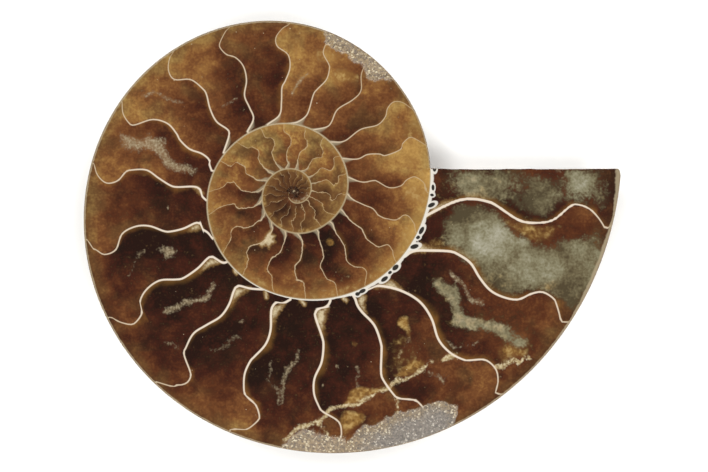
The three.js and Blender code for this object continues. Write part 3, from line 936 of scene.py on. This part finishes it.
# What lies over the honey calcite, from the bottom up: a share, where it starts and is full, how far
# it covers, and its colour.
colour = honey
for share, start, full, cover, layer in [
    (clouds["olive"], 0.48, 0.7, 0.5, olive),
    (ragged["inner_russet"], 0.5, 1.0, 0.55, linear("#5e341c")),
    (ragged["inner_olive"], 0.4, 0.8, 0.62, olive),
    (ragged["rim_olive"], 8.0, 1.0, 0.5, olive),
    (ragged["milk"], 0.1, 0.6, 0.6, olive),
    (ragged["chalcedony"], 0.34, 0.78, 0.94, chalcedony_colour),
    (ragged["amber"], 0.3, 1.1, 0.75, amber_colour),
    (ragged["inclusion"], 0.3, 1.15, 0.66, inclusion_colour),
    (ragged["crack"], 0.3, 0.9, 0.88, crack_colour),
    (specks, 0.085, 0.05, 0.7, linear("#ad9e81")),
    (ragged["glow"], 0.3, -1.3, 0.5, linear("#7f5927")),
    (flare_before, 1.0, 0.35, 0.75, linear("#7f7560")),
    (flare_after, 0.43, 0.15, 0.75, linear("#7f7560")),
    (ragged["cream"], 0.05, 0.6, 0.7, linear("#735832")),
    (ragged["cream"], 0.45, 1.15, 0.85, linear("#b2a586")),
    (septum_edge, 0.07, -0.07, 0.95, septum_colour),
    (whorl_wall_place, 1.25, 0.4, 0.78, linear("#8e7f63")),
    (ragged["rim"], 1.05, 0.6, 0.8, linear("#897c64")),
    (ragged["band"], 1.05, 0.7, 0.95, linear("#b8b3a9")),
    (cell_place, 1.85, 1.55, 0.92, linear("#b8b3a9")),
    (cell_place, 1.12, 0.85, 0.97, linear("#110d09")),
]:
    reach = {"Value": share, "From Min": start, "From Max": full, "To Min": 0.0, "To Max": cover}
    amount = add_node(tree, "ShaderNodeMapRange", reach, interpolation_type="SMOOTHSTEP")[0]
    colour = add_node(tree, "ShaderNodeMix", {0: amount, 6: colour, 7: layer}, data_type="RGBA")[2]
reach = {"Value": ragged["mauve"], "From Min": 0.2, "From Max": 0.8}
mauve = add_node(tree, "ShaderNodeMapRange", reach, interpolation_type="SMOOTHSTEP")[0]
sugar_mix = {0: mauve, 6: brown_grains_and_glints, 7: mauve_grains_and_glints}
sugar_grains_and_glints = add_node(tree, "ShaderNodeMix", sugar_mix, data_type="RGBA")[2]
# The sugary patches go over the calcite, painted glints and all.
reach = {"Value": ragged["grains"], "From Min": 0.25, "From Max": 0.7, "To Max": 0.92}
sugary = add_node(tree, "ShaderNodeMapRange", reach, interpolation_type="SMOOTHSTEP")[0]
colour = add_node(tree, "ShaderNodeMix", {0: sugary, 6: colour, 7: sugar_grains_and_glints}, data_type="RGBA")[2]

POLISHED = 0.12
UNPOLISHED = 0.5
reach = {"Value": sugary, "To Min": POLISHED, "To Max": UNPOLISHED}
gloss = add_node(tree, "ShaderNodeMapRange", reach)[0]
relief = add_node(tree, "ShaderNodeMath", {0: sugary, 1: sugar["Distance"]}, operation="MULTIPLY")[0]
bump = add_node(tree, "ShaderNodeBump", {"Height": relief, "Strength": 0.4, "Distance": 0.0002})[0]
calcite_surface = add_node(tree, "ShaderNodeBsdfPrincipled", {
    "Base Color": colour, "Roughness": gloss, "IOR": 1.6, "Normal": bump,
})[0]
add_node(tree, "ShaderNodeOutputMaterial", {"Surface": calcite_surface})

# Worn shell: fibrous aragonite gone tan and brown, with growth lines across the whorl and a dull sheen.
shell = bpy.data.materials.new("worn_aragonite_shell")
shell.use_nodes = True
tree = shell.node_tree
tree.nodes.clear()
coords = add_node(tree, "ShaderNodeTexCoord", {})["Object"]
vector = add_node(tree, "ShaderNodeAttribute", {}, attribute_name="wall_place")["Vector"]
rib_degrees, reach_on_flank, _ = add_node(tree, "ShaderNodeSeparateXYZ", {0: vector})
along_rib = add_node(tree, "ShaderNodeMath", {0: reach_on_flank, 1: 0.6}, operation="MULTIPLY")[0]
across_ribs = add_node(tree, "ShaderNodeCombineXYZ", {0: rib_degrees, 1: along_rib})[0]
growth_lines = add_node(tree, "ShaderNodeTexNoise", {
    "Vector": across_ribs, "Scale": 0.9, "Detail": 4.0, "Roughness": 0.65,
})["Fac"]
stains = add_node(tree, "ShaderNodeTexNoise", {
    "Vector": coords, "Scale": per_mm(6.0), "Detail": 5.0, "Roughness": 0.6, "Distortion": 0.6,
})["Fac"]
pits = add_node(tree, "ShaderNodeTexNoise", {
    "Vector": coords, "Scale": per_mm(0.6), "Detail": 3.0, "Roughness": 0.6,
})["Fac"]
shell_tone = stains
for cloud, amount in [(growth_lines, 0.5), (pits, 0.25)]:
    centred = add_node(tree, "ShaderNodeMath", {0: cloud, 1: 0.5}, operation="SUBTRACT")[0]
    shell_tone = add_node(tree, "ShaderNodeMath", {
        0: centred, 1: amount, 2: shell_tone,
    }, operation="MULTIPLY_ADD")[0]
shell_colour = add_node(tree, "ShaderNodeValToRGB", {"Fac": shell_tone}, stops=[
    (0.25, "#3e2b1a"), (0.78, "#9d8a70"), (0.42, "#5f452a"), (0.58, "#7c6444"),
])[0]
shell_relief = add_node(tree, "ShaderNodeMath", {
    0: growth_lines, 1: 0.7, 2: pits,
}, operation="MULTIPLY_ADD")[0]
shell_bump = add_node(tree, "ShaderNodeBump", {
    "Height": shell_relief, "Strength": 0.35, "Distance": 0.0003,
})[0]
reach = {"Value": stains, "From Min": 0.3, "From Max": 0.7, "To Min": 0.38, "To Max": 0.6}
shell_gloss = add_node(tree, "ShaderNodeMapRange", reach)[0]
shell_surface = add_node(tree, "ShaderNodeBsdfPrincipled", {
    "Base Color": shell_colour, "Roughness": shell_gloss, "IOR": 1.6, "Normal": shell_bump,
})[0]
add_node(tree, "ShaderNodeOutputMaterial", {"Surface": shell_surface})

mesh.materials.append(calcite)
mesh.materials.append(shell)
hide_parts("ammonite_half")
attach(ammonite, "root")

# The floor is a wide sheet of plain matt white paper, which the half lies on.
# It belongs to the picture and is no part of the fossil.
FLOOR_HALF = 1.5
floor_mesh = bpy.data.meshes.new("floor")
floor_corners = [(x * FLOOR_HALF, y * FLOOR_HALF, 0) for x, y in [(-1, -1), (1, -1), (1, 1), (-1, 1)]]
floor_mesh.from_pydata(floor_corners, [], [(0, 1, 2, 3)])
floor = bpy.data.objects.new("floor", floor_mesh)
bpy.context.scene.collection.objects.link(floor)
paper = bpy.data.materials.new("white_paper")
paper.use_nodes = True
paper_surface = paper.node_tree.nodes["Principled BSDF"]
paper_surface.inputs["Base Color"].default_value = linear("#f6f6f4")
paper_surface.inputs["Roughness"].default_value = 0.9
paper_surface.inputs["Specular IOR Level"].default_value = 0.2
floor_mesh.materials.append(paper)

# Four large soft boxes stand round the piece and make one even studio light with a faint shadow.
# They stand well aside, so that the polish doesn't mirror them up into the camera.
LIGHT_DISTANCE = 0.6
LIGHT_HEIGHT = 1.0
LIGHT_SIZE = 0.5
LIGHT_POWER = 7.5
AMBIENT_STRENGTH = 0.05
for count in range(4):
    angle = math.radians(45 + 90 * count)
    light = bpy.data.lights.new(f"soft_box_{count}", "AREA")
    light.shape = "SQUARE"
    light.size = LIGHT_SIZE
    light.energy = LIGHT_POWER
    lamp = bpy.data.objects.new(f"soft_box_{count}", light)
    lamp.location = (LIGHT_DISTANCE * math.cos(angle), LIGHT_DISTANCE * math.sin(angle), LIGHT_HEIGHT)
    lamp.rotation_euler = (math.atan2(LIGHT_DISTANCE, LIGHT_HEIGHT), 0, angle + math.pi / 2)
    bpy.context.scene.collection.objects.link(lamp)

world = bpy.data.worlds.new("studio")
world.use_nodes = True
world.node_tree.nodes["Background"].inputs["Color"].default_value = (1, 1, 1, 1)
world.node_tree.nodes["Background"].inputs["Strength"].default_value = AMBIENT_STRENGTH
bpy.context.scene.world = world
bpy.context.scene.view_settings.view_transform = "Standard"

# The camera looks straight down on the polished face, from as far away as a long lens stands.
# Its picture has the photo's frame, at the photo's millimetres per pixel.
PICTURE = (708, 472)
CAMERA_DISTANCE = 0.6
SENSOR_WIDTH = 36.0
camera_data = bpy.data.cameras.new("camera")
camera_data.sensor_width = SENSOR_WIDTH
camera_data.lens = SENSOR_WIDTH * CAMERA_DISTANCE / (PICTURE[0] * MM_PER_PIXEL * MM)
camera = bpy.data.objects.new("camera", camera_data)
picture_middle = from_photo([(PICTURE[0] / 2 - 0.5, PICTURE[1] / 2 - 0.5)])[0] - box_middle[:2]
camera.location = (picture_middle[0] * MM, picture_middle[1] * MM, THICKNESS * MM + CAMERA_DISTANCE)
bpy.context.scene.collection.objects.link(camera)
bpy.context.scene.camera = camera
